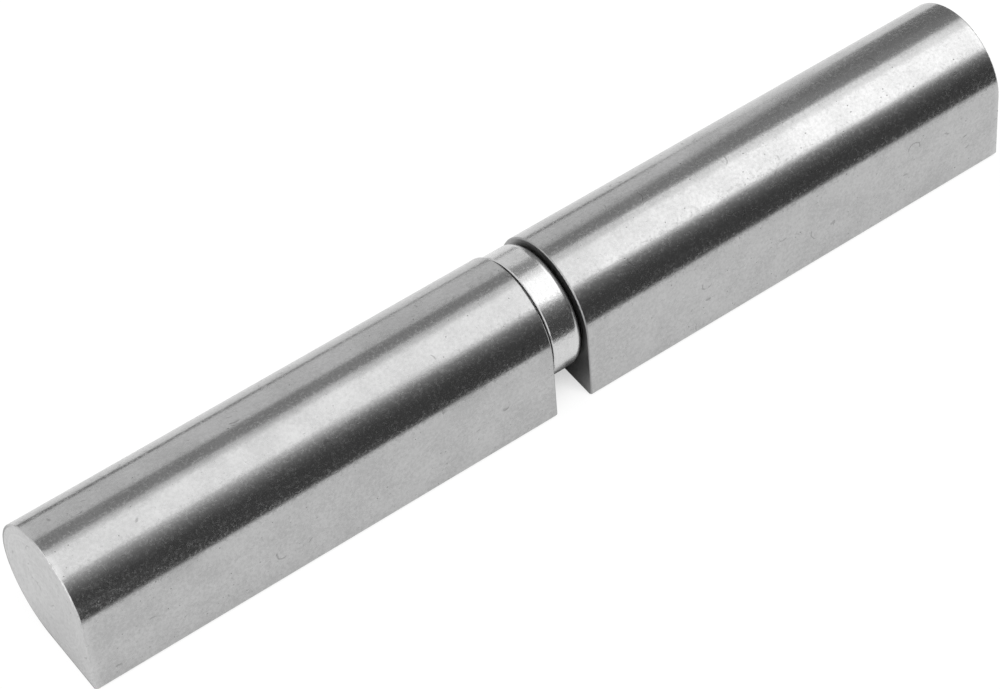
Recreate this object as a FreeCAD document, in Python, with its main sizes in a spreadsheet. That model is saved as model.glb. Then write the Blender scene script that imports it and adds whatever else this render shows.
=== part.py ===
import FreeCAD, Part
import math
import os

import Sketcher

# Lift-off weld-on hinge with a thrust ball bearing, lying on one flank.
# Row frame: +X along the hinge axis from the lower barrel to the upper one,
# +Z up from the flank that it lies on, -Y towards the apex of the section.

TOLERANCE = 1e-6

doc = FreeCAD.newDocument("weld_on_hinge")

# Driving sizes in millimetres, apart from the number of balls and the drill's angle
SIZES = {
    # Drop-shaped bar of both barrels
    "barrel_diameter": 20,
    "apex_reach": 15.2,
    "apex_rounding": 0.6,
    "lower_barrel_length": 77,
    "upper_barrel_length": 77,
    "end_edge_round": 0.2,
    # Pin and its two blind bores
    "pin_diameter": 12,
    "pin_seat_depth": 44,
    "pin_reach": 40,
    "pin_end_chamfer": 1,
    "pin_end_clearance": 2,
    "bore_clearance": 0.05,
    "bore_lead_in": 0.5,
    "drill_point_angle": 118,
    # Thrust bearing: balls, cage and races
    "ball_count": 14,
    "ball_diameter": 2,
    "ball_clearance": 0.02,
    "pocket_clearance": 0.06,
    "cage_web": 0.24,
    "cage_clearance": 0.2,
    "cage_thickness": 0.8,
    "race_thickness": 1.85,
    "groove_depth": 0.25,
    "groove_relief": 0.05,
    "race_edge_break": 0.15,
    "seat_clearance": 0.08,
    "turning_clearance": 0.3,
    # Drawn cap over the bearing
    "cap_sheet": 0.6,
    "cap_shoulder_radius": 1.5,
    "rim_bevel_length": 0.2,
    "rim_bevel_depth": 0.15,
    "cap_rim_radius": 0.1,
    "rim_gap": 0.4,
    "lip_thickness": 0.4,
    "lip_overlap": 0.3,
    "lip_clearance": 0.2,
    # Axial play of the loose hinge, between the cap and the upper barrel
    "axial_play": 0.16,
}

# Sizes worked out from the driving ones. Every x here is measured along the
# hinge axis from the seat, the lower barrel's end face that carries the bearing.
DERIVED = {
    # Section of the bar
    "barrel_radius": "sizes.barrel_diameter / 2",
    "flank_length": "sqrt(sizes.apex_reach ^ 2 - barrel_radius ^ 2)",
    "tip_offset": "flank_length * (1 - sizes.apex_rounding / barrel_radius)",
    "axis_y": "(tip_offset + sizes.apex_rounding - barrel_radius) / 2",
    # Radii of the bearing, from the pin outwards
    "pin_radius": "sizes.pin_diameter / 2",
    "running_bore_diameter": "sizes.pin_diameter + 2 * sizes.bore_clearance",
    "turning_bore_radius": "pin_radius + sizes.turning_clearance",
    "seated_bore_radius": "pin_radius + sizes.seat_clearance",
    "pocket_radius": "sizes.ball_diameter / 2 + sizes.pocket_clearance",
    "cage_inner_radius": "pin_radius + sizes.cage_clearance",
    "pitch_radius": "cage_inner_radius + sizes.cage_web + pocket_radius",
    "cage_outer_radius": "pitch_radius + pocket_radius + sizes.cage_web",
    "cap_inner_radius": "cage_outer_radius + sizes.cage_clearance",
    "cap_outer_radius": "cap_inner_radius + sizes.cap_sheet",
    "cap_bend_radius": "sizes.cap_shoulder_radius - sizes.cap_sheet",
    "bevel_radius": "cap_outer_radius - sizes.rim_bevel_depth",
    "seated_race_radius": "cap_inner_radius - sizes.seat_clearance",
    "turning_race_radius": "cap_inner_radius - sizes.turning_clearance",
    "lip_inner_radius": "turning_race_radius - sizes.lip_overlap",
    "rebate_radius": "lip_inner_radius - sizes.turning_clearance",
    # Stack of the bearing, from the seat upwards
    "race_gap": "sizes.ball_diameter - 2 * sizes.groove_depth + 2 * sizes.ball_clearance",
    "ball_x": "sizes.race_thickness + race_gap / 2",
    "cage_x": "ball_x - sizes.cage_thickness / 2",
    "upper_race_x": "sizes.race_thickness + race_gap",
    "cap_inside_x": "upper_race_x + sizes.race_thickness",
    "cap_top_x": "cap_inside_x + sizes.cap_sheet",
    "barrel_gap": "cap_top_x + sizes.axial_play",
    "lip_top_x": "sizes.rim_gap + sizes.lip_thickness",
    "bevel_x": "sizes.rim_gap + sizes.rim_bevel_length",
    "rebate_x": "lip_top_x + sizes.lip_clearance",
    "race_corner": "cap_bend_radius + sizes.seat_clearance",
    "groove_radius": "sizes.ball_diameter / 2 + sizes.groove_relief",
    "groove_rise": "groove_radius - sizes.groove_depth",
    # Places along the row's X axis, with the whole hinge centred on the origin
    "total_length": "sizes.lower_barrel_length + barrel_gap + sizes.upper_barrel_length",
    "seat_x": "sizes.lower_barrel_length - total_length / 2",
    "upper_face_x": "seat_x + barrel_gap",
    # Pin and bore depths
    "pin_length": "sizes.pin_seat_depth + barrel_gap + sizes.pin_reach",
    "upper_bore_depth": "sizes.pin_reach + sizes.pin_end_clearance",
}

sizes = doc.addObject("Spreadsheet::Sheet", "sizes")
for row, (alias, number) in enumerate(SIZES.items(), start=1):
    sizes.set(f"A{row}", str(number))
    sizes.setAlias(f"A{row}", alias)
doc.recompute()

derived = doc.addObject("App::VarSet", "derived")
for name, formula in DERIVED.items():
    derived.addProperty("App::PropertyFloat", name)
    derived.setExpression(name, formula)
doc.recompute()


def new_body(label, x):
    """A body whose own X axis is the hinge axis and whose origin stands at x of the row."""
    body = doc.addObject("PartDesign::Body", label)
    body.Label = label
    body.setExpression("Placement.Base.x", x)
    body.setExpression("Placement.Base.y", "derived.axis_y")
    body.setExpression("Placement.Base.z", "derived.barrel_radius")
    return body


def new_sketch(body, name, role):
    """An empty sketch on one of the body's own origin planes."""
    sketch = body.newObject("Sketcher::SketchObject", name)
    for feature in body.Origin.OriginFeatures:
        if feature.Role == role:
            sketch.AttachmentSupport = (feature, [""])
    sketch.MapMode = "FlatFace"
    return sketch


def bind(sketch, kind, *place, size):
    """One dimension of a sketch, tied to a size by an expression."""
    index = sketch.addConstraint(Sketcher.Constraint(kind, *place, 1.0))
    sketch.setExpression(f"Constraints[{index}]", size)


def outline(body, name, corners):
    """A closed half section in the XY plane: each corner is (place along the axis, radius)."""
    sketch = new_sketch(body, name, "XY_Plane")
    count = len(corners)
    # Rough starting points in the right order, which the dimensions move into place
    rough = [FreeCAD.Vector(index, 1 + index * (count - index), 0) for index in range(count)]
    for index in range(count):
        sketch.addGeometry(Part.LineSegment(rough[index], rough[(index + 1) % count]))
    for index, (along, radius) in enumerate(corners):
        before = (index - 1) % count
        sketch.addConstraint(Sketcher.Constraint("Coincident", before, 2, index, 1))
        bind(sketch, "DistanceX", -1, 1, index, 1, size=along)
        bind(sketch, "DistanceY", -1, 1, index, 1, size=radius)
    return sketch


def circle(sketch, radius, centre_x="0", centre_y="0"):
    """A full circle in a sketch."""
    index = sketch.addGeometry(Part.Circle(FreeCAD.Vector(1, 1, 0), FreeCAD.Vector(0, 0, 1), 1))
    bind(sketch, "Radius", index, size=radius)
    bind(sketch, "DistanceX", -1, 1, index, 3, size=centre_x)
    bind(sketch, "DistanceY", -1, 1, index, 3, size=centre_y)


def turn(body, kind, sketch):
    """A full turn of a sketch about the hinge axis: PartDesign Revolution or Groove."""
    feature = body.newObject(kind, sketch.Name + "_turned")
    feature.Profile = sketch
    feature.ReferenceAxis = (sketch, ["H_Axis"])
    feature.Angle = 360
    doc.recompute()
    return feature


def rings(shape, x, radius):
    """Names of the shape's circular edges of this radius at this place along the axis."""
    names = []
    for index, edge in enumerate(shape.Edges, start=1):
        if not isinstance(edge.Curve, Part.Circle):
            continue
        same_place = abs(edge.Curve.Center.x - x) < TOLERANCE
        if same_place and abs(edge.Curve.Radius - radius) < TOLERANCE:
            names.append(f"Edge{index}")
    return names


def flat_rims(shape, places):
    """Names of the edges that lie in one of the planes across the axis at these places."""
    names = []
    for index, edge in enumerate(shape.Edges, start=1):
        box = edge.BoundBox
        if any(abs(box.XMin - x) + abs(box.XMax - x) < TOLERANCE for x in places):
            names.append(f"Edge{index}")
    return names


def dress(body, kind, name, base, edges, size):
    """A fillet or a chamfer on named edges of the body's last feature."""
    feature = body.newObject(kind, name)
    feature.Base = (base, edges)
    feature.setExpression("Radius" if kind.endswith("Fillet") else "Size", size)
    doc.recompute()
    return feature


def drop_section(body):
    """The bar's section: a round back, two flanks tangent to it and a small round tip.
    The lower flank is level, and the axis stands above its inner end."""
    sketch = new_sketch(body, body.Name + "_section", "YZ_Plane")
    radius = derived.barrel_radius
    tip = sizes.apex_rounding
    # Directions of the outward normals of the level flank and of the side flank
    down_angle = -math.pi / 2
    side_angle = math.pi / 2 + 2 * math.asin(radius / sizes.apex_reach)
    down = FreeCAD.Vector(0, -1, 0)
    side = FreeCAD.Vector(math.cos(side_angle), math.sin(side_angle), 0)
    centre = FreeCAD.Vector(0, 0, 0)
    tip_centre = FreeCAD.Vector(-derived.tip_offset, tip - radius, 0)
    axis = FreeCAD.Vector(0, 0, 1)
    back = sketch.addGeometry(
        Part.ArcOfCircle(Part.Circle(centre, axis, radius), down_angle, side_angle))
    flank = sketch.addGeometry(
        Part.LineSegment(side * radius, tip_centre + side * tip))
    nose = sketch.addGeometry(
        Part.ArcOfCircle(Part.Circle(tip_centre, axis, tip), side_angle, down_angle + math.tau))
    floor = sketch.addGeometry(
        Part.LineSegment(tip_centre + down * tip, down * radius))
    for first, first_end, second, second_end in (
        (back, 2, flank, 1), (flank, 2, nose, 1), (nose, 2, floor, 1), (floor, 2, back, 1)
    ):
        sketch.addConstraint(Sketcher.Constraint("Tangent", first, first_end, second, second_end))
    sketch.addConstraint(Sketcher.Constraint("Coincident", back, 3, -1, 1))
    sketch.addConstraint(Sketcher.Constraint("Horizontal", floor))
    bind(sketch, "Radius", back, size="derived.barrel_radius")
    bind(sketch, "Radius", nose, size="sizes.apex_rounding")
    bind(sketch, "DistanceX", nose, 3, -1, 1, size="derived.tip_offset")
    return sketch


def barrel(label, x, length, bore_diameter, bore_depth, away):
    """A barrel of drawn bar, its end edges rounded, with a blind bore drilled from x = 0.
    The bar runs along +X where away is True and along -X where it is False."""
    body = new_body(label, x)
    bar = body.newObject("PartDesign::Pad", label + "_bar")
    bar.Profile = drop_section(body)
    bar.setExpression("Length", length)
    bar.Reversed = not away
    doc.recompute()
    ends = (bar.Shape.BoundBox.XMin, bar.Shape.BoundBox.XMax)
    rims = flat_rims(bar.Shape, ends)
    dress(body, "PartDesign::Fillet", label + "_ends", bar, rims, "sizes.end_edge_round")
    mouth = new_sketch(body, label + "_mouth", "YZ_Plane")
    circle(mouth, bore_diameter + " / 2")
    doc.recompute()
    bore = body.newObject("PartDesign::Hole", label + "_bore")
    bore.Profile = mouth
    bore.Reversed = away
    bore.DepthType = "Dimension"
    bore.DrillPoint = "Angled"
    bore.HoleCutType = "Countersink"
    bore.HoleCutCustomValues = True
    bore.HoleCutCountersinkAngle = 90
    bore.setExpression("DrillPointAngle", "sizes.drill_point_angle")
    bore.setExpression("Diameter", bore_diameter)
    bore.setExpression("Depth", bore_depth)
    bore.setExpression("HoleCutDiameter", bore_diameter + " + 2 * sizes.bore_lead_in")
    doc.recompute()
    return body


def hinge_pin():
    """The hardened pin, a ground round bar with both ends chamfered."""
    body = new_body("hinge_pin", "derived.seat_x - sizes.pin_seat_depth")
    section = new_sketch(body, "pin_section", "YZ_Plane")
    circle(section, "derived.pin_radius")
    rod = body.newObject("PartDesign::Pad", "pin_rod")
    rod.Profile = section
    rod.setExpression("Length", "derived.pin_length")
    doc.recompute()
    ends = flat_rims(rod.Shape, (rod.Shape.BoundBox.XMin, rod.Shape.BoundBox.XMax))
    dress(body, "PartDesign::Chamfer", "pin_ends", rod, ends, "sizes.pin_end_chamfer")
    return body


def grooved(body, blank, groove_x):
    """Cuts the ball track, a circle a little larger than the ball, round a race."""
    track = new_sketch(body, body.Name + "_track", "XY_Plane")
    circle(track, "derived.groove_radius", groove_x, "derived.pitch_radius")
    groove = turn(body, "PartDesign::Groove", track)
    if groove.Shape.Volume > blank.Shape.Volume - TOLERANCE:
        raise RuntimeError(f"the ball track of {body.Label} cuts nothing")
    return groove


def lower_race():
    """The standing race. Its foot is stepped in, so that the cap's lip can reach under it."""
    body = new_body("lower_race", "derived.seat_x")
    blank = turn(body, "PartDesign::Revolution", outline(body, "lower_race_section", (
        ("0", "derived.seated_bore_radius"),
        ("0", "derived.rebate_radius"),
        ("derived.rebate_x", "derived.rebate_radius"),
        ("derived.rebate_x", "derived.turning_race_radius"),
        ("sizes.race_thickness", "derived.turning_race_radius"),
        ("sizes.race_thickness", "derived.seated_bore_radius"),
    )))
    groove = grooved(body, blank, "sizes.race_thickness + derived.groove_rise")
    edges = rings(groove.Shape, sizes.race_thickness, derived.turning_race_radius)
    edges += rings(groove.Shape, sizes.race_thickness, derived.seated_bore_radius)
    dress(body, "PartDesign::Chamfer", "lower_race_edges", groove, edges, "sizes.race_edge_break")
    return body


def upper_race():
    """The turning race. Its upper corner is cut back to clear the bend inside the cap."""
    body = new_body("upper_race", "derived.seat_x")
    blank = turn(body, "PartDesign::Revolution", outline(body, "upper_race_section", (
        ("derived.upper_race_x", "derived.turning_bore_radius"),
        ("derived.upper_race_x", "derived.seated_race_radius"),
        ("derived.cap_inside_x - derived.race_corner", "derived.seated_race_radius"),
        ("derived.cap_inside_x", "derived.seated_race_radius - derived.race_corner"),
        ("derived.cap_inside_x", "derived.turning_bore_radius"),
    )))
    groove = grooved(body, blank, "derived.upper_race_x - derived.groove_rise")
    edges = rings(groove.Shape, derived.upper_race_x, derived.seated_race_radius)
    edges += rings(groove.Shape, derived.upper_race_x, derived.turning_bore_radius)
    dress(body, "PartDesign::Chamfer", "upper_race_edges", groove, edges, "sizes.race_edge_break")
    return body


def ball_cage():
    """A flat ring with a round pocket for each ball."""
    body = new_body("ball_cage", "derived.seat_x + derived.cage_x")
    face = new_sketch(body, "cage_face", "YZ_Plane")
    circle(face, "derived.cage_outer_radius")
    circle(face, "derived.cage_inner_radius")
    ring = body.newObject("PartDesign::Pad", "cage_ring")
    ring.Profile = face
    ring.setExpression("Length", "sizes.cage_thickness")
    doc.recompute()
    place = new_sketch(body, "pocket_place", "YZ_Plane")
    circle(place, "derived.pocket_radius", "derived.pitch_radius")
    pocket = body.newObject("PartDesign::Pocket", "ball_pocket")
    pocket.Profile = place
    pocket.Type = "ThroughAll"
    pocket.Reversed = True
    doc.recompute()
    pockets = body.newObject("PartDesign::PolarPattern", "ball_pockets")
    pockets.Originals = [pocket]
    pockets.Axis = (place, ["N_Axis"])
    pockets.Angle = 360
    pockets.setExpression("Occurrences", "sizes.ball_count")
    body.Tip = pockets
    doc.recompute()
    cut = ring.Shape.Volume - pocket.Shape.Volume
    if cut < TOLERANCE or pockets.Shape.Volume > pocket.Shape.Volume - TOLERANCE:
        raise RuntimeError("the pockets of the cage cut nothing")
    return body


def thrust_ball(index):
    """One ball of the bearing, in the middle of its pocket."""
    ball = doc.addObject("Part::Sphere", f"thrust_ball_{index + 1:02d}")
    ball.Label = ball.Name
    angle = f"360 / sizes.ball_count * {index}"
    ball.setExpression("Radius", "sizes.ball_diameter / 2")
    ball.setExpression("Placement.Base.x", "derived.seat_x + derived.ball_x")
    ball.setExpression("Placement.Base.y", f"derived.axis_y + derived.pitch_radius * cos({angle})")
    ball.setExpression("Placement.Base.z", f"derived.barrel_radius + derived.pitch_radius * sin({angle})")
    return ball


def bearing_cap():
    """The drawn steel cup over the bearing. Its closed side carries the upper race, and its
    open rim is rolled in under the lower race, which leaves a bevel round its outside."""
    body = new_body("bearing_cap", "derived.seat_x")
    cup = turn(body, "PartDesign::Revolution", outline(body, "cap_section", (
        ("sizes.rim_gap", "derived.lip_inner_radius"),
        ("sizes.rim_gap", "derived.bevel_radius"),
        ("derived.bevel_x", "derived.cap_outer_radius"),
        ("derived.cap_top_x", "derived.cap_outer_radius"),
        ("derived.cap_top_x", "derived.turning_bore_radius"),
        ("derived.cap_inside_x", "derived.turning_bore_radius"),
        ("derived.cap_inside_x", "derived.cap_inner_radius"),
        ("derived.lip_top_x", "derived.cap_inner_radius"),
        ("derived.lip_top_x", "derived.lip_inner_radius"),
    )))
    shoulder = dress(
        body, "PartDesign::Fillet", "cap_shoulder", cup,
        rings(cup.Shape, derived.cap_top_x, derived.cap_outer_radius), "sizes.cap_shoulder_radius")
    bend = dress(
        body, "PartDesign::Fillet", "cap_bend", shoulder,
        rings(shoulder.Shape, derived.cap_inside_x, derived.cap_inner_radius), "derived.cap_bend_radius")
    dress(
        body, "PartDesign::Fillet", "cap_rim", bend,
        rings(bend.Shape, sizes.rim_gap, derived.bevel_radius), "sizes.cap_rim_radius")
    return body


pieces = [
    barrel(
        "lower_barrel", "derived.seat_x", "sizes.lower_barrel_length",
        "sizes.pin_diameter", "sizes.pin_seat_depth", False),
    barrel(
        "upper_barrel", "derived.upper_face_x", "sizes.upper_barrel_length",
        "derived.running_bore_diameter", "derived.upper_bore_depth", True),
    hinge_pin(),
    lower_race(),
    upper_race(),
    ball_cage(),
    bearing_cap(),
]
pieces += [thrust_ball(index) for index in range(int(sizes.ball_count))]
doc.recompute()

for thing in doc.Objects:
    if "Invalid" in thing.State or "Error" in thing.State:
        raise RuntimeError(f"{thing.Label} failed: {thing.State}")
for piece in pieces:
    if piece.Shape.isNull() or not piece.Shape.isValid() or len(piece.Shape.Solids) != 1:
        raise RuntimeError(f"{piece.Label} has no single valid solid")

os.makedirs("parts", exist_ok=True)
for piece in pieces:
    piece.Shape.exportStep(f"parts/{piece.Label}.step")
    box = piece.Shape.BoundBox
    print(f"{piece.Label}: {piece.Shape.Volume:.2f} mm3, {box}")
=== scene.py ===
import math

import bpy
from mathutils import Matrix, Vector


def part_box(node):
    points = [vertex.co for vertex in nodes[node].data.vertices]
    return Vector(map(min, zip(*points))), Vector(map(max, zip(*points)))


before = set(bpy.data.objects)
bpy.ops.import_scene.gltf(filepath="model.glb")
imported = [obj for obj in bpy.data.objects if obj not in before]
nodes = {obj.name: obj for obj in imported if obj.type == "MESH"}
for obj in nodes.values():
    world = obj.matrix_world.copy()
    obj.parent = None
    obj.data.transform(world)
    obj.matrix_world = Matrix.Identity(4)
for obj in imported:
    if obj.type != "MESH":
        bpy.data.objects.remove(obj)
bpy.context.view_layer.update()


# The two barrels
# Each is a length of cold drawn steel bar of drop-shaped section, sawn off, faced in a lathe with its
# end edges broken, and bored blind for the pin. The skin is satin, tumbled bright, with small pits
# and handling scratches; the end faces keep faint turning rings, and the bore is reamed.
BARREL_PALE = (0.495, 0.495, 0.495, 1)
BARREL_DULL = (0.405, 0.405, 0.405, 1)
FACE_PALE = (0.55, 0.55, 0.55, 1)
FACE_DULL = (0.44, 0.44, 0.44, 1)
FACE_PAINTED_SHADE = (0.35, 0.35, 0.35, 1)
EDGE_BRIGHT = (0.56, 0.56, 0.56, 1)
EDGE_PAINTED_SHADOW = (0.16, 0.16, 0.16, 1)
PIT_GREY = (0.2, 0.2, 0.2, 1)
BORE_GREY = (0.3, 0.3, 0.3, 1)

# The cage is turned about the hinge axis, so its middle lies on it. The upper barrel ends as far from
# the middle of the hinge as the lower one does.
cage_low, cage_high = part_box("ball_cage")
axis = (cage_low + cage_high) / 2
barrel_low, barrel_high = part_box("lower_barrel")
END_PLANE = -barrel_low.x
GAP_PLANE = -barrel_high.x


def new_finish(name):
    finish = bpy.data.materials.new(name)
    finish.use_nodes = True
    tree = finish.node_tree
    shader = tree.nodes["Principled BSDF"]
    shader.inputs["Metallic"].default_value = 1
    return finish, tree, shader


def add(tree, kind, sources=None, **settings):
    # A node of this kind, with each socket given a value or the output that feeds it.
    node = tree.nodes.new("ShaderNode" + kind)
    for name, value in settings.items():
        setattr(node, name, value)
    for socket, source in (sources or {}).items():
        if isinstance(source, bpy.types.NodeSocket):
            tree.links.new(source, node.inputs[socket])
        else:
            node.inputs[socket].default_value = source
    return node


def place(tree, turn=(0, 0, 0), stretch=(1, 1, 1)):
    # The object's own coordinates, measured from the hinge axis, turned and then stretched.
    where = add(tree, "TexCoord").outputs["Object"]
    centred = add(tree, "Mapping", {"Vector": where, "Location": (0, -axis.y, -axis.z)})
    turned = add(tree, "Mapping", {"Vector": centred.outputs["Vector"], "Rotation": turn})
    stretched = add(tree, "Mapping", {"Vector": turned.outputs["Vector"], "Scale": stretch})
    return stretched.outputs["Vector"]


def grain(tree, vector, scale, detail=2.0, roughness=0.5):
    values = {"Vector": vector, "Scale": scale, "Detail": detail, "Roughness": roughness}
    return add(tree, "TexNoise", values).outputs["Fac"]


def span(tree, value, low, high, to_low=0, to_high=1):
    # Goes smoothly from to_low to to_high while the value goes from low to high.
    values = {"Value": value, "From Min": low, "From Max": high, "To Min": to_low, "To Max": to_high}
    return add(tree, "MapRange", values, interpolation_type="SMOOTHSTEP").outputs["Result"]


def sum_of(tree, first, second):
    return add(tree, "Math", {0: first, 1: second}, operation="ADD").outputs[0]


def times(tree, first, second):
    return add(tree, "Math", {0: first, 1: second}, operation="MULTIPLY").outputs[0]


def weighed(tree, first, *others):
    # The sum of some patterns, each given with its weight.
    pattern, weight = first
    total = times(tree, pattern, weight)
    for pattern, weight in others:
        total = sum_of(tree, total, times(tree, pattern, weight))
    return total


def waves(tree, distance, pitch):
    # Even rings, one for each pitch of the distance.
    angle = times(tree, distance, 2 * math.pi / pitch)
    return add(tree, "Math", {0: angle}, operation="SINE").outputs[0]


def blend(tree, factor, first, second):
    node = add(tree, "Mix", data_type="RGBA")
    tree.links.new(factor, node.inputs["Factor"])
    for socket, colour in ((node.inputs[6], first), (node.inputs[7], second)):
        if isinstance(colour, bpy.types.NodeSocket):
            tree.links.new(colour, socket)
        else:
            socket.default_value = colour
    return node.outputs[2]


def from_axis(tree):
    # Distance from the hinge axis, in metres.
    flat = add(tree, "VectorMath", {0: place(tree), 1: (0, 1, 1)}, operation="MULTIPLY")
    return add(tree, "VectorMath", {0: flat.outputs["Vector"]}, operation="LENGTH").outputs["Value"]


def give(tree, shader, colour, roughness):
    tree.links.new(colour, shader.inputs["Base Color"])
    tree.links.new(roughness, shader.inputs["Roughness"])


def emboss(tree, shader, height, unit):
    # Relief whose height is counted in this unit, which is in metres.
    relief = add(tree, "Bump", {"Height": height, "Distance": unit, "Strength": 1})
    tree.links.new(relief.outputs["Normal"], shader.inputs["Normal"])


def put_on(finish, names):
    for name in names:
        nodes[name].material_slots[0].material = finish


# Noise that the whole barrel shares. A scale says how many grains there are in a metre.
FINE_SCALE = 2000
CLOUD_SCALE = 170
PEEL_SCALE = 620
DRAWN_LINES = (25, 2400, 2400)

barrel_steel, tree, shader = new_finish("barrel_steel")
skin = place(tree)
skin_xyz = add(tree, "SeparateXYZ", {"Vector": skin}).outputs
radius = from_axis(tree)
fine = grain(tree, skin, FINE_SCALE, detail=3, roughness=0.55)
cloudy = grain(tree, skin, CLOUD_SCALE, detail=3, roughness=0.55)
peel = grain(tree, skin, PEEL_SCALE, detail=1.5)
drawn = grain(tree, place(tree, stretch=DRAWN_LINES), 1, roughness=0.6)

# Where the faced ends, the bore and the two flats are.
EDGE_BREAK = 0.0002
EDGE_FLAT = 0.00014
BORE_MOUTH = (0.0062, 0.0063)
BLIND_END = (0.0791, 0.0792)
FLATS_BELOW = (0.001, 0.002)
FLATS_BEFORE = (-0.001, 0)

end_distance = add(tree, "Math", {0: skin_xyz["X"]}, operation="ABSOLUTE").outputs[0]
outer_face = span(tree, end_distance, END_PLANE - EDGE_BREAK, END_PLANE - EDGE_FLAT)
inner_face = span(tree, end_distance, GAP_PLANE + EDGE_FLAT, GAP_PLANE + EDGE_BREAK, 1, 0)
within_bore = span(tree, radius, *BORE_MOUTH, 1, 0)
bore = times(tree, within_bore, span(tree, end_distance, *BLIND_END, 1, 0))
below = span(tree, skin_xyz["Z"], *FLATS_BELOW, 1, 0)
on_flats = times(tree, below, span(tree, skin_xyz["Y"], *FLATS_BEFORE, 1, 0))

# Pits, one in some of the cells of an uneven net.
WOBBLE_SCALE = 1800
WOBBLE_REACH = 0.0003
PIT_SCALE = 1100
PIT_CHANCE = (1.03, 1.16)
PIT_EDGE = (0.05, 0.16)

wobble_noise = add(tree, "TexNoise", {"Vector": skin, "Scale": WOBBLE_SCALE}).outputs["Color"]
reach = (WOBBLE_REACH, WOBBLE_REACH, WOBBLE_REACH)
wobble = add(tree, "VectorMath", {0: wobble_noise, 1: reach}, operation="MULTIPLY")
uneven = add(tree, "VectorMath", {0: skin, 1: wobble.outputs["Vector"]}, operation="ADD").outputs["Vector"]
cells = add(tree, "TexVoronoi", {"Vector": uneven, "Scale": PIT_SCALE, "Randomness": 1})
dice = add(tree, "SeparateColor", {"Color": cells.outputs["Color"]}).outputs["Red"]
is_pit = span(tree, sum_of(tree, dice, times(tree, cloudy, 0.6)), *PIT_CHANCE)
pit = times(tree, is_pit, span(tree, cells.outputs["Distance"], *PIT_EDGE, 1, 0))

# Nicks are short pieces of a ring, and scratches are thin lines that run in two directions.
NICK_SCALE = 210
NICK_RADIUS = 0.3
NICK_LINE = 0.02
NICK_SPOT_SCALE = 420
NICK_SPOTS = (0.61, 0.67)
LONG_TURN = (0.3, 0.25, 0.4)
LONG_LINES = (60, 3200, 3200)
LONG_CUT = (0.74, 0.8)
CROSS_TURN = (0.9, -0.5, -0.9)
CROSS_LINES = (90, 3600, 3600)
CROSS_CUT = (0.76, 0.82)

nick_cells = add(tree, "TexVoronoi", {"Vector": uneven, "Scale": NICK_SCALE, "Randomness": 1})
on_ring = {0: nick_cells.outputs["Distance"], 1: NICK_RADIUS, 2: NICK_LINE}
nick_ring = add(tree, "Math", on_ring, operation="COMPARE").outputs[0]
nick_spots = span(tree, grain(tree, skin, NICK_SPOT_SCALE, detail=1), *NICK_SPOTS)
nick = times(tree, nick_ring, nick_spots)
long_lines = grain(tree, place(tree, LONG_TURN, LONG_LINES), 1, detail=1)
cross_lines = grain(tree, place(tree, CROSS_TURN, CROSS_LINES), 1, detail=1)
scratch = sum_of(tree, span(tree, long_lines, *LONG_CUT), span(tree, cross_lines, *CROSS_CUT))
scratch = sum_of(tree, scratch, nick)

# The colour: the skin, paler near the outer ends, then the faces, a painted shadow along the lower and
# back rim of the outer faces, painted shade on the inner faces, and the marks.
SKIN_TONES = (0.29, 0.57)
FACE_TONES = (0.36, 0.64)
FINE_SHARE = 0.34
MORE_ON_FLATS = 0.16
OUTER_END_BAND = (0.0788, 0.0797)
OUTER_END_SHARE = 0.55
TURNING_SCALE = 2200
BORDER = (0.00952, 0.00968)
PAINTED_SHADOW_RIM_TOP = (0.004, 0.008)
PAINTED_SHADOW_SHARE = 0.8

fine_share = sum_of(tree, times(tree, on_flats, MORE_ON_FLATS), FINE_SHARE)
fine_part = times(tree, sum_of(tree, fine, -0.5), fine_share)
tone = sum_of(tree, sum_of(tree, fine_part, 0.25), times(tree, cloudy, 0.36))
skin_colour = blend(tree, span(tree, tone, *SKIN_TONES), BARREL_DULL, BARREL_PALE)
# The skin grows paler in patches over the last part before each outer end.
near_end = span(tree, end_distance, *OUTER_END_BAND, 0, OUTER_END_SHARE)
paler_outer_end = times(tree, near_end, sum_of(tree, cloudy, 0.2))
skin_colour = blend(tree, paler_outer_end, skin_colour, EDGE_BRIGHT)
across_face = add(tree, "CombineXYZ", {"X": radius}).outputs["Vector"]
turning = grain(tree, across_face, TURNING_SCALE, roughness=0.6)
face_tone = weighed(tree, (turning, 0.4), (peel, 0.25), (fine, 0.35))
turned_colour = blend(tree, span(tree, face_tone, *FACE_TONES), FACE_DULL, FACE_PALE)
colour = blend(tree, outer_face, skin_colour, turned_colour)
# Painted shadow: a thin dark line on the lower and back rim of each outer end face, where its edge would
# mirror the shaded table under and behind the barrel.
behind_flats = span(tree, skin_xyz["Y"], *FLATS_BEFORE)
round_rim_shadow = times(tree, span(tree, radius, *BORDER), behind_flats)
round_rim_shadow = times(tree, round_rim_shadow, span(tree, skin_xyz["Z"], *PAINTED_SHADOW_RIM_TOP, 1, 0))
flat_rim_shadow = span(tree, skin_xyz["Z"], -BORDER[1], -BORDER[0], 1, 0)
border = times(tree, sum_of(tree, round_rim_shadow, flat_rim_shadow), outer_face)
colour = blend(tree, times(tree, border, PAINTED_SHADOW_SHARE), colour, EDGE_PAINTED_SHADOW)
# Painted shade: the inner end faces, which look into the dark gap at the cap, are darkened.
colour = blend(tree, inner_face, colour, FACE_PAINTED_SHADE)
colour = blend(tree, weighed(tree, (pit, 0.9), (scratch, 0.5)), colour, PIT_GREY)
colour = blend(tree, bore, colour, BORE_GREY)

# The roughness and the relief.
SKIN_ROUGH = (0.185, 0.155)
SPECK_SCALE = 2300
SPECKS = (0.46, 0.68)
TURNING_PITCH = 0.00032
RELIEF_UNIT = 0.000001

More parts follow.
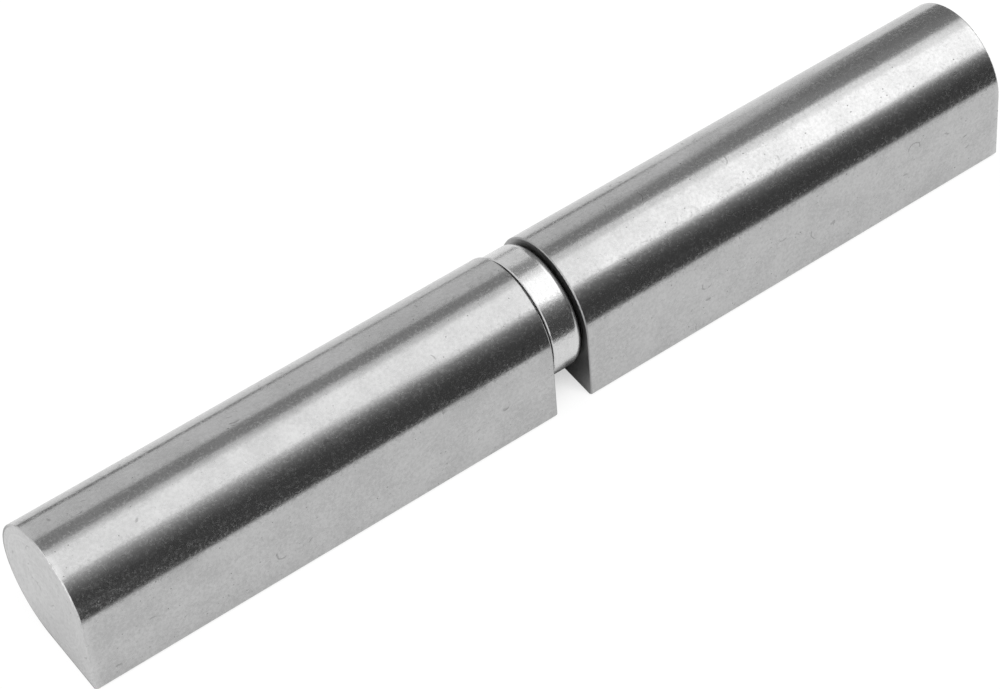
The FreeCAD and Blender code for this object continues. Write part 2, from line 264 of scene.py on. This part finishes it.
speck = span(tree, grain(tree, skin, SPECK_SCALE), *SPECKS)
more_rough = weighed(tree, (speck, 0.105), (outer_face, 0.12), (inner_face, 0.22), (pit, 0.2))
give(tree, shader, colour, sum_of(tree, span(tree, tone, *SKIN_TONES, *SKIN_ROUGH), more_rough))
rings = times(tree, waves(tree, radius, TURNING_PITCH), sum_of(tree, outer_face, inner_face))
skin_height = weighed(tree, (fine, 4.0), (peel, 8.0), (drawn, 2.0), (rings, 0.35))
mark_height = weighed(tree, (pit, -9.0), (scratch, -3.0))
emboss(tree, shader, sum_of(tree, skin_height, mark_height), RELIEF_UNIT)
put_on(barrel_steel, ("lower_barrel", "upper_barrel"))


# The hinge pin
# A hardened round pin, centreless ground, so its grinding lines run round it. It is pressed into the
# lower barrel and is a running fit in the upper one.
PIN_GREY = (0.5, 0.5, 0.5, 1)
PIN_DARK = (0.44, 0.44, 0.44, 1)
PIN_TONES = (0.3, 0.7)
PIN_ROUGH = (0.2, 0.13)
GRINDING_LINES = (6000, 90, 90)
GRINDING_RELIEF = 0.0000006

pin_steel, tree, shader = new_finish("pin_steel")
lines = grain(tree, place(tree, stretch=GRINDING_LINES), 1, detail=3, roughness=0.6)
give(tree, shader, blend(tree, lines, PIN_DARK, PIN_GREY), span(tree, lines, *PIN_TONES, *PIN_ROUGH))
emboss(tree, shader, lines, GRINDING_RELIEF)
put_on(pin_steel, ("hinge_pin",))


# The two races
# Washers turned from bearing steel and hardened, their faces ground flat. A band that takes in most
# of the ball groove and the rim outside it is polished brighter than the rest.
RACE_GREY = (0.46, 0.46, 0.46, 1)
BAND_BRIGHT = (0.6, 0.6, 0.6, 1)
BAND_RADIUS = 0.008
BAND_HALF = 0.00085
BAND_SOFT_EDGE = 0.9
BAND_POLISH = -0.17
GROUND_SCALE = 2200
GROUND_TONES = (0.3, 0.7)
GROUND_ROUGH = (0.24, 0.3)
RING_PITCH = 0.0001

race_steel, tree, shader = new_finish("race_steel")
radius = from_axis(tree)
past_band = add(tree, "Math", {0: radius, 1: BAND_RADIUS}, operation="SUBTRACT").outputs[0]
off_band = add(tree, "Math", {0: past_band}, operation="ABSOLUTE").outputs[0]
band = span(tree, off_band, BAND_HALF * BAND_SOFT_EDGE, BAND_HALF, 1, 0)
ground = grain(tree, place(tree), GROUND_SCALE, detail=3, roughness=0.6)
ground_rough = span(tree, ground, *GROUND_TONES, *GROUND_ROUGH)
race_rough = sum_of(tree, ground_rough, times(tree, band, BAND_POLISH))
give(tree, shader, blend(tree, band, RACE_GREY, BAND_BRIGHT), race_rough)
race_height = weighed(tree, (waves(tree, radius, RING_PITCH), 0.2), (ground, 1))
emboss(tree, shader, race_height, GRINDING_RELIEF)
put_on(race_steel, ("lower_race", "upper_race"))


# The ball cage
# A thin ring blanked from steel sheet, with a round pocket for each ball. The sheet is rolled, so its
# faces have a faint straight grain over a soft mottle.
CAGE_GREY = (0.4, 0.4, 0.4, 1)
CAGE_PALE = (0.48, 0.48, 0.48, 1)
CAGE_TONES = (0.35, 0.65)
CAGE_ROUGH = (0.36, 0.28)
ROLLED_LINES = (2500, 2500, 60)
MOTTLE_SCALE = 1500
SHEET_RELIEF = 0.000002

cage_steel, tree, shader = new_finish("cage_steel")
rolled = grain(tree, place(tree, stretch=ROLLED_LINES), 1, detail=3, roughness=0.6)
mottle = grain(tree, place(tree), MOTTLE_SCALE)
tone = weighed(tree, (rolled, 0.5), (mottle, 0.5))
cage_colour = blend(tree, span(tree, tone, *CAGE_TONES), CAGE_GREY, CAGE_PALE)
give(tree, shader, cage_colour, span(tree, tone, *CAGE_TONES, *CAGE_ROUGH))
emboss(tree, shader, tone, SHEET_RELIEF)
put_on(cage_steel, ("ball_cage",))


# The balls
# Fourteen hardened steel balls, lapped to a mirror, with the faint haze of a little running.
BALL_BRIGHT = (0.62, 0.62, 0.62, 1)
BALL_HAZE = (0.56, 0.56, 0.56, 1)
HAZE_SCALE = 1800
HAZE_TONES = (0.35, 0.65)
BALL_ROUGH = (0.09, 0.05)

ball_steel, tree, shader = new_finish("ball_steel")
haze = grain(tree, place(tree), HAZE_SCALE)
ball_colour = blend(tree, span(tree, haze, *HAZE_TONES), BALL_HAZE, BALL_BRIGHT)
give(tree, shader, ball_colour, span(tree, haze, *HAZE_TONES, *BALL_ROUGH))
put_on(ball_steel, [name for name in nodes if name.startswith("thrust_ball")])


# The bearing cap
# A cup drawn from steel sheet and burnished, with a rounded shoulder on the upper barrel's side and a
# thin rim rolled in on the other. It is the brightest piece, with faint lines round it from the die.
CAP_BRIGHT = (0.65, 0.65, 0.65, 1)
CAP_DULL = (0.58, 0.58, 0.58, 1)
CAP_PAINTED_SHADE = (0.2, 0.2, 0.2, 1)
CAP_TONES = (0.36, 0.64)
CAP_ROUGH = (0.2, 0.17)
CAP_SPECKS = (0.48, 0.68)
DIE_LINES = (4200, 120, 120)
CAP_FINE_SCALE = 2600
STAIN_SCALE = 420
CAP_PEEL_SCALE = 700
SHOULDER_SHADE_START = (0.0015, 0.0024)

cap_steel, tree, shader = new_finish("cap_steel")
skin = place(tree)
round_lines = grain(tree, place(tree, stretch=DIE_LINES), 1, detail=3, roughness=0.6)
fine = grain(tree, skin, CAP_FINE_SCALE, detail=3, roughness=0.6)
stain = grain(tree, skin, STAIN_SCALE, detail=3, roughness=0.55)
peel = grain(tree, skin, CAP_PEEL_SCALE)
speck = span(tree, grain(tree, skin, SPECK_SCALE), *CAP_SPECKS)
tone = weighed(tree, (round_lines, 0.3), (fine, 0.3), (stain, 0.4))
burnished = blend(tree, span(tree, tone, *CAP_TONES), CAP_DULL, CAP_BRIGHT)
cap_along = add(tree, "SeparateXYZ", {"Vector": skin}).outputs["X"]
# Painted shade: the cap's shoulder is darkened where it runs close to the upper barrel.
cap_colour = blend(tree, span(tree, cap_along, *SHOULDER_SHADE_START), burnished, CAP_PAINTED_SHADE)
cap_rough = sum_of(tree, span(tree, tone, *CAP_TONES, *CAP_ROUGH), times(tree, speck, 0.1))
give(tree, shader, cap_colour, cap_rough)
cap_height = weighed(tree, (round_lines, 2.0), (fine, 12.0), (peel, 12.0))
emboss(tree, shader, cap_height, RELIEF_UNIT)
put_on(cap_steel, ("bearing_cap",))


# The table
# A plain white table top. The camera and the metal see a white glow on it, dimmed by painted shadow where
# it is closed in from the sky round and under the hinge, and its diffuse part keeps the hinge's real soft
# shadow.
TABLE_WHITE = (1, 1, 1, 1)
TABLE_GREY = (0.8, 0.8, 0.8, 1)
TABLE_SHADED = (0.16, 0.16, 0.16, 1)
TABLE_SIZE = 6.0
TABLE_DROP = -0.00001
SHADOW_REACH = 0.03
SKY_SAMPLES = 8

# How open to the sky the table is where it is darkest and where it is whitest, and then how white its glow
# is at each, as the eye sees it and as the metal reflects it.
# The dimming is painted shadow, faint to the eye and deep in reflections.
PAINTED_SHADOW_TO_EYE = (0, 0.35, 0.45, 0.88)
PAINTED_SHADOW_TO_METAL = (0.15, 0.65, 0, 0.86)


def seen_directly(tree):
    # 1 for the rays of the camera and of reflections, 0 for the light that the surface sends round.
    path = add(tree, "LightPath").outputs
    rays = {0: path["Is Camera Ray"], 1: path["Is Glossy Ray"]}
    both = add(tree, "Math", rays, operation="MAXIMUM").outputs[0]
    rays = {0: both, 1: path["Is Transmission Ray"]}
    return add(tree, "Math", rays, operation="MAXIMUM").outputs[0]


def choose(tree, factor, first, second, output):
    # The output shows the first shader, or the second where the factor is 1.
    choice = add(tree, "MixShader", {"Fac": factor})
    tree.links.new(first.outputs[0], choice.inputs[1])
    tree.links.new(second.outputs[0], choice.inputs[2])
    tree.links.new(choice.outputs[0], tree.nodes[output].inputs["Surface"])


bpy.ops.object.select_all(action="DESELECT")
bpy.ops.mesh.primitive_plane_add(size=TABLE_SIZE, location=(0, 0, TABLE_DROP))
table = bpy.context.object
table.name = "table_top"
table_paint = bpy.data.materials.new("table_white")
table_paint.use_nodes = True
tree = table_paint.node_tree
tree.nodes.remove(tree.nodes["Principled BSDF"])
plain = add(tree, "BsdfDiffuse", {"Color": TABLE_GREY})
shaded = add(tree, "BsdfDiffuse", {"Color": TABLE_SHADED})
sky = add(tree, "AmbientOcclusion", {"Distance": SHADOW_REACH}, samples=SKY_SAMPLES).outputs["AO"]
# Painted shadow: the table's glow dims where the sky is closed off.
to_eye = span(tree, sky, *PAINTED_SHADOW_TO_EYE)
to_metal = span(tree, sky, *PAINTED_SHADOW_TO_METAL)
camera_ray = add(tree, "LightPath").outputs["Is Camera Ray"]
glow_with_painted_shadow = add(tree, "Mix", {0: camera_ray, 2: to_metal, 3: to_eye}).outputs[0]
white = add(tree, "Emission", {"Color": TABLE_WHITE, "Strength": glow_with_painted_shadow})
shown = add(tree, "AddShader")
tree.links.new(shaded.outputs[0], shown.inputs[0])
tree.links.new(white.outputs[0], shown.inputs[1])
choose(tree, seen_directly(tree), plain, shown, "Material Output")
table.data.materials.append(table_paint)


# The studio
# A white room with a soft box overhead, one over the right end and one at the left. Flat cards that
# only reflections see, in black and greys with one pale one, give the bare metal its bands.
ROOM_WHITE = (1, 1, 1, 1)
ROOM_LEVEL = 0.75
SEEN_LEVEL = 1.0

world = bpy.data.worlds.new("white_room")
bpy.context.scene.world = world
world.use_nodes = True
tree = world.node_tree
tree.nodes.remove(tree.nodes["Background"])
dim = add(tree, "Background", {"Color": ROOM_WHITE, "Strength": ROOM_LEVEL})
bright = add(tree, "Background", {"Color": ROOM_WHITE, "Strength": SEEN_LEVEL})
choose(tree, seen_directly(tree), dim, bright, "World Output")


def soft_box(name, width, depth, middle, radiance, tilt=0):
    # A rectangular light that faces down, or is tilted from there by so many degrees.
    bpy.ops.object.light_add(type="AREA", location=middle)
    lamp = bpy.context.object
    lamp.name = name
    lamp.rotation_euler = (0, math.radians(tilt), 0)
    lamp.data.shape = "RECTANGLE"
    lamp.data.size = width
    lamp.data.size_y = depth
    lamp.data.energy = radiance * math.pi * width * depth


soft_box("overhead_soft_box", width=2.6, depth=0.92, middle=(0.2, -0.26, 1.0), radiance=0.56)
soft_box("right_soft_box", width=0.6, depth=1.2, middle=(0.8, -0.1, 0.98), radiance=0.52)
soft_box("left_soft_box", width=0.7, depth=1.1, middle=(-1.0, 0.15, 0.42), radiance=1.0, tilt=-90)


def card_paint(name, foot_level, top_level, foot, top):
    # A card that glows at foot_level up to the height of its foot and at top_level from its top, and
    # grows from one to the other between them, slowly at first.
    paint = bpy.data.materials.new(name)
    paint.use_nodes = True
    tree = paint.node_tree
    tree.nodes.remove(tree.nodes["Principled BSDF"])
    where = add(tree, "TexCoord").outputs["Object"]
    height = add(tree, "SeparateXYZ", {"Vector": where}).outputs["Z"]
    share = add(tree, "MapRange", {"Value": height, "From Min": foot, "From Max": top}).outputs["Result"]
    growth = times(tree, times(tree, share, share), top_level - foot_level)
    level = sum_of(tree, growth, foot_level)
    glow = add(tree, "Emission", {"Color": ROOM_WHITE, "Strength": level})
    tree.links.new(glow.outputs[0], tree.nodes["Material Output"].inputs["Surface"])
    return paint


card_black = card_paint("card_black", foot_level=0.08, top_level=0.75, foot=0.2, top=1.0)
card_grey = card_paint("card_grey", foot_level=0.25, top_level=0.35, foot=0.3, top=0.7)
card_dim = card_paint("card_dim", foot_level=0.22, top_level=0.22, foot=0, top=1)
card_pale = card_paint("card_pale", foot_level=0.88, top_level=0.88, foot=0, top=1)


def card(name, corners, paint):
    # A flat card that only reflections see.
    mesh = bpy.data.meshes.new(name)
    mesh.from_pydata(corners, [], [list(range(len(corners)))])
    sheet = bpy.data.objects.new(name, mesh)
    bpy.context.scene.collection.objects.link(sheet)
    mesh.materials.append(paint)
    sheet.visible_camera = False
    sheet.visible_diffuse = False
    sheet.visible_shadow = False


def upright(y, outline):
    # The corners of a card that stands across the room at y, from its outline in x and z.
    return [(x, y, z) for x, z in outline]


def lying(z, outline):
    # The corners of a card that lies flat at height z, from its outline in x and y.
    return [(x, y, z) for x, y in outline]


# Where the cards stand and lie, from the middle of the hinge and up from the table.
FRONT = -0.7
BACK = 0.7
BEHIND_BACK = 0.71
CARD_LEFT = -0.15
RIGHT = 1.4
CEILING = 0.96
ON_TABLE = 0.0002

front_foot = [(CARD_LEFT, 0.13), (0.05, 0.13), (0.05, 0.0), (RIGHT, 0.0)]
front_top = [(RIGHT, 0.85), (0.51, 0.8), (0.49, 0.82), (0.45, 0.8), (0.43, 0.84), (0.41, 0.95)]
card("front_card", upright(FRONT, front_foot + front_top + [(CARD_LEFT, CEILING)]), card_black)

over_front = [(CARD_LEFT, FRONT), (0.41, FRONT), (0.43, -0.59), (CARD_LEFT, -0.59)]
card("over_front_card", lying(CEILING, over_front), card_black)

before_hinge = [(-0.1, -0.05), (0.04, -0.06), (0.14, -0.088), (0.75, FRONT), (0.05, FRONT)]
card("table_card", lying(ON_TABLE, before_hinge), card_black)

back_foot = [(CARD_LEFT, 0.73), (0.4, 0.73), (0.43, 0.7), (0.44, 0.7), (0.46, 0.0), (RIGHT, 0.0)]
card("back_card", upright(BACK, back_foot + [(RIGHT, CEILING), (CARD_LEFT, CEILING)]), card_grey)

wall = [(-1.2, 0.0), (0.5, 0.0), (0.5, 0.7), (-1.2, 0.7)]
card("back_wall", upright(BEHIND_BACK, wall), card_pale)

wall_foot = [(0.3, 0.0), (0.37, 0.0), (0.37, 0.05), (0.3, 0.05)]
card("wall_foot", upright(BACK, wall_foot), card_black)

overhead_near = [(CARD_LEFT, 0.34), (0.2, 0.345), (0.34, 0.38), (0.5, 0.44), (0.57, 0.455), (0.78, 0.6)]
overhead_far = [(RIGHT, 0.9), (RIGHT, 1.2), (CARD_LEFT, 1.2)]
card("overhead_card", lying(CEILING, overhead_near + overhead_far), card_grey)

at_right = [(RIGHT, FRONT, 0.0), (RIGHT, BACK, 0.0), (RIGHT, BACK, CEILING), (RIGHT, FRONT, CEILING)]
card("right_card", at_right, card_grey)

behind_near = [(-0.1, 0.07), (-0.054, 0.088), (0.018, 0.142), (0.07, 0.195), (0.12, 0.23), (0.46, 0.68)]
behind_far = [(0.12, 0.66), (-0.05, 0.2), (-0.1, 0.12)]
card("table_back_card", lying(ON_TABLE, behind_near + behind_far), card_dim)


# The camera
# A long lens above the left end, looking down along the hinge.
CAMERA_PLACE = (-0.1983057, -0.2430917, 0.3922190)
CAMERA_TURN = (38.857373, -0.940966, -37.295606)
LENS_LENGTH = 127.2736
SENSOR_WIDTH = 36.0
NEAREST = 0.01
FARTHEST = 50.0

bpy.ops.object.camera_add(location=CAMERA_PLACE)
camera = bpy.context.object
camera.name = "camera"
camera.rotation_euler = [math.radians(angle) for angle in CAMERA_TURN]
camera.data.lens = LENS_LENGTH
camera.data.sensor_width = SENSOR_WIDTH
camera.data.clip_start = NEAREST
camera.data.clip_end = FARTHEST
bpy.context.scene.camera = camera
bpy.context.scene.view_settings.view_transform = "Standard"
